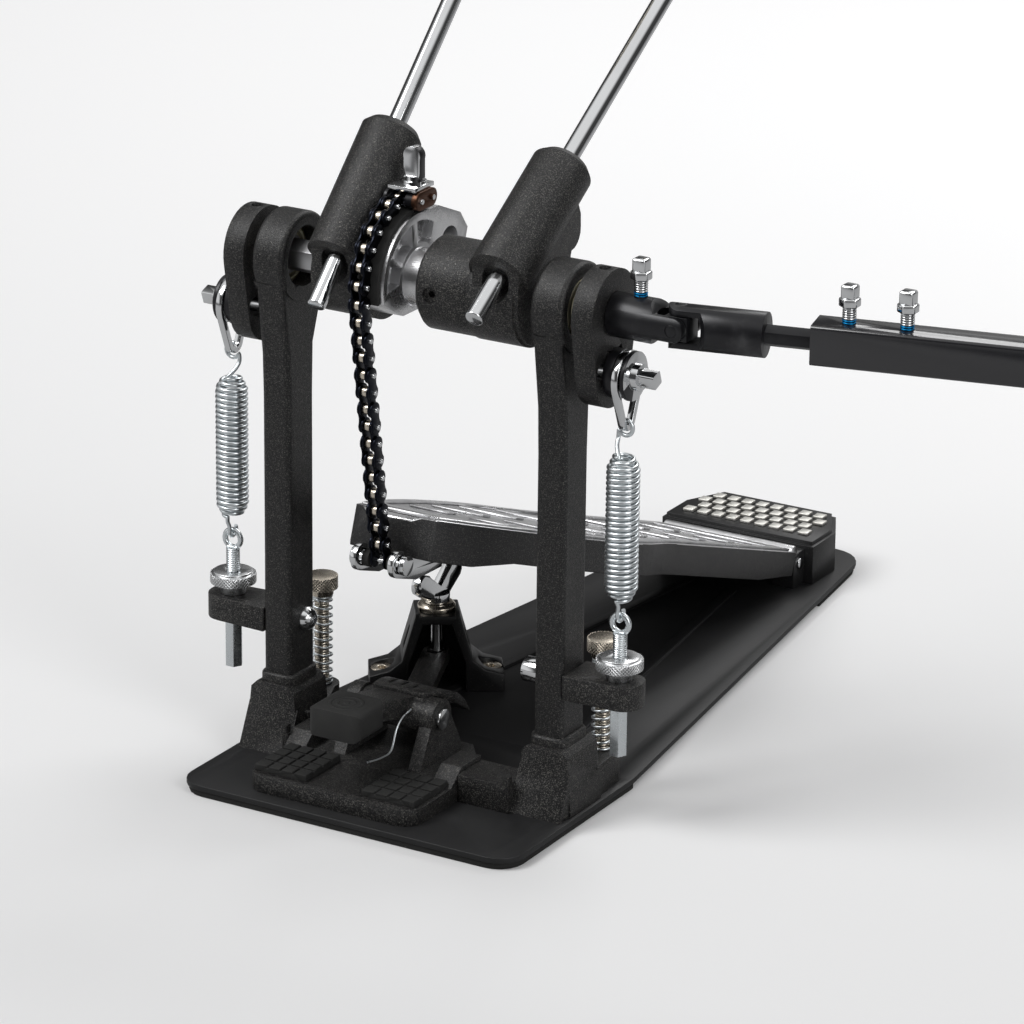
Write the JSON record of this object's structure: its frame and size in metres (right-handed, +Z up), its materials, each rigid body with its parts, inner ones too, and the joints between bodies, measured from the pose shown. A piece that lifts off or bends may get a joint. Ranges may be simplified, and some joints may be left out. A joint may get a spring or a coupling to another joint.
{
  "type": "double bass drum pedal",
  "caption": "Chain-driven bass drum pedal with a slave beater, a jointed drive shaft, side tension springs, a hoop clamp and a long base plate.",
  "frame": {"origin": "on the floor under the axle, midway between the two posts", "axes": "+X along the axle towards the drive shaft, +Y from the drum towards the player's heel, +Z up"},
  "size_m": [0.4427, 0.4075, 0.4137],
  "materials": {
    "powder_black": "textured matt powder coat",
    "satin_black": "satin paint",
    "oxide_black": "semi-gloss black oxide",
    "rubber_black": "matt moulded rubber",
    "heel_black": "matt moulding",
    "chrome": "polished plate",
    "steel": "plain machined steel",
    "zinc": "bright blue zinc plate",
    "nickel": "warm nickel plate",
    "blued": "blued plates with bright rollers",
    "alloy": "polished die casting",
    "felt": "pressed felt"
  },
  "bodies": {
    "stand": {"base_plate": "satin_black", "base_pads": "rubber_black", "base_casting": "powder_black", "post_left": "satin_black", "post_right": "satin_black", "bearings": "steel", "spring_lugs": "powder_black", "lug_screws": "chrome", "eye_bolts": "chrome", "tension_nuts": "chrome", "clamp_casting": "powder_black", "clamp_pads": "rubber_black", "pivot_pins": "steel", "clamp_tower": "satin_black", "tower_fittings": "steel", "heel_block": "heel_black", "heel_studs": "chrome"},
    "primary_axle": {"hex_axle": "steel", "rocker_left": "powder_black", "tension_pin_left": "chrome", "holder_left": "powder_black", "rod_left": "chrome", "beater_left": "felt", "cam": "alloy", "cam_strip": "rubber_black", "chain_wrap": "blued", "chain_anchor": "chrome"},
    "slave_axle": {"slave_hub": "powder_black", "slave_shaft": "steel", "holder_right": "powder_black", "rod_right": "chrome", "beater_right": "felt", "rocker_right": "powder_black", "tension_pin_right": "chrome", "near_yoke": "oxide_black"},
    "footboard": {"footboard": "satin_black", "footboard_inlay": "alloy", "toe_bracket": "chrome"},
    "chain_link_3": {"chain_link_3": "blued"},
    "chain_link_2": {"chain_link_2": "blued"},
    "chain_link_1": {"chain_link_1": "blued"},
    "chain_run": {"chain_run": "blued", "toe_pin": "chrome"},
    "clamp_lever": {"clamp_lever": "powder_black", "rubber_cap": "rubber_black", "clamp_wire": "steel"},
    "clamp_screw": {"clamp_screw": "chrome"},
    "spur_left": {"spur_left": "nickel", "spur_spring_left": "zinc"},
    "spur_right": {"spur_right": "nickel", "spur_spring_right": "zinc"},
    "spring_left": {"spring_left": "zinc"},
    "strap_left": {"strap_left": "chrome"},
    "spring_right": {"spring_right": "zinc"},
    "strap_right": {"strap_right": "chrome"},
    "joint_cross": {"joint_cross": "oxide_black"},
    "middle_yoke": {"middle_yoke": "oxide_black"},
    "shaft_tube": {"shaft_tube": "oxide_black"},
    "far_cross": {"far_cross": "oxide_black"},
    "far_yoke": {"far_yoke": "oxide_black"}
  },
  "joints": [
    {"name": "beater_swing", "type": "hinge", "parent": "stand", "child": "primary_axle", "pos_m": [0, 0, 0.227], "axis": [1, 0, 0], "range_deg": [0, 45], "stiffness_Nm_per_rad": 3},
    {"name": "slave_swing", "type": "hinge", "parent": "stand", "child": "slave_axle", "pos_m": [0, 0, 0.227], "axis": [1, 0, 0], "range_deg": [0, 48], "stiffness_Nm_per_rad": 3},
    {"name": "board_tilt", "type": "hinge", "parent": "stand", "child": "footboard", "pos_m": [0, 0.283, 0.017], "axis": [1, 0, 0], "range_deg": [-0.5, 5.5]},
    {"name": "chain_bend_3", "type": "hinge", "parent": "primary_axle", "child": "chain_link_3", "pos_m": [-0.013, -0.0282, 0.24509], "axis": [1, 0, 0], "range_deg": [-15.31, 0]},
    {"name": "chain_bend_2", "type": "hinge", "parent": "chain_link_3", "child": "chain_link_2", "pos_m": [-0.013, -0.03168, 0.23789], "axis": [1, 0, 0], "range_deg": [-15.31, 0]},
    {"name": "chain_bend_1", "type": "hinge", "parent": "chain_link_2", "child": "chain_link_1", "pos_m": [-0.013, -0.03336, 0.23006], "axis": [1, 0, 0], "range_deg": [-15.31, 0]},
    {"name": "chain_bend_0", "type": "hinge", "parent": "chain_link_1", "child": "chain_run", "pos_m": [-0.013, -0.03313, 0.22207], "axis": [1, 0, 0], "range_deg": [-1.84, 0]},
    {"name": "lever_tilt", "type": "hinge", "parent": "stand", "child": "clamp_lever", "pos_m": [-0.011, -0.005, 0.032], "axis": [1, 0, 0], "range_deg": [0, 7.5], "stiffness_Nm_per_rad": 1.5},
    {"name": "screw_turn", "type": "hinge", "parent": "stand", "child": "clamp_screw", "pos_m": [-0.046, 0.085, 0.042], "axis": [0, 0, 1], "range_deg": [-180, 180]},
    {"name": "spur_slide_left", "type": "slide", "parent": "stand", "child": "spur_left", "axis": [0, 0, 1], "range_m": [-0.006, 0.006], "deforming": ["spur_spring_left"]},
    {"name": "spur_slide_right", "type": "slide", "parent": "stand", "child": "spur_right", "axis": [0, 0, 1], "range_m": [-0.006, 0.006], "deforming": ["spur_spring_right"]},
    {"name": "spring_swing_left", "type": "hinge", "parent": "stand", "child": "spring_left", "pos_m": [-0.097, -0.003, 0.097], "axis": [1, 0, 0], "range_deg": [-10.5, 0.5]},
    {"name": "spring_stretch_left", "type": "slide", "parent": "spring_left", "child": "strap_left", "axis": [0, 0, 1], "range_m": [-0.0005, 0.0105], "deforming": ["spring_left"]},
    {"name": "spring_swing_right", "type": "hinge", "parent": "stand", "child": "spring_right", "pos_m": [0.097, -0.003, 0.097], "axis": [1, 0, 0], "range_deg": [-12, 0.5]},
    {"name": "spring_stretch_right", "type": "slide", "parent": "spring_right", "child": "strap_right", "axis": [0, 0, 1], "range_m": [-0.0005, 0.0135], "deforming": ["spring_right"]},
    {"name": "cross_tilt", "type": "hinge", "parent": "slave_axle", "child": "joint_cross", "pos_m": [0.121, 0, 0.227], "axis": [0, 1, 0], "range_deg": [-25, 25]},
    {"name": "yoke_tilt", "type": "hinge", "parent": "joint_cross", "child": "middle_yoke", "pos_m": [0.121, 0, 0.227], "axis": [0, 0, 1], "range_deg": [-30, 12]},
    {"name": "shaft_slide", "type": "slide", "parent": "middle_yoke", "child": "shaft_tube", "axis": [0.9744, 0.225, 0], "range_m": [-0.012, 0.02]},
    {"name": "far_cross_tilt", "type": "hinge", "parent": "shaft_tube", "child": "far_cross", "pos_m": [0.30028, 0.04139, 0.227], "axis": [-0.225, 0.9744, 0], "range_deg": [-25, 25]},
    {"name": "far_yoke_tilt", "type": "hinge", "parent": "far_cross", "child": "far_yoke", "pos_m": [0.30028, 0.04139, 0.227], "axis": [0, 0, 1], "range_deg": [-25, 25]}
  ],
  "couplings": [
    {"joint": "board_tilt", "follows": "beater_swing", "ratio": 0.1132},
    {"joint": "chain_bend_3", "follows": "beater_swing", "ratio": -0.34},
    {"joint": "chain_bend_2", "follows": "beater_swing", "ratio": -0.34},
    {"joint": "chain_bend_1", "follows": "beater_swing", "ratio": -0.34},
    {"joint": "chain_bend_0", "follows": "beater_swing", "ratio": -0.0408},
    {"joint": "spring_swing_left", "follows": "beater_swing", "ratio": -0.216},
    {"joint": "spring_stretch_left", "follows": "beater_swing", "m_per_rad": 0.01175},
    {"joint": "spring_swing_right", "follows": "slave_swing", "ratio": -0.21},
    {"joint": "spring_stretch_right", "follows": "slave_swing", "m_per_rad": 0.013}
  ]
}
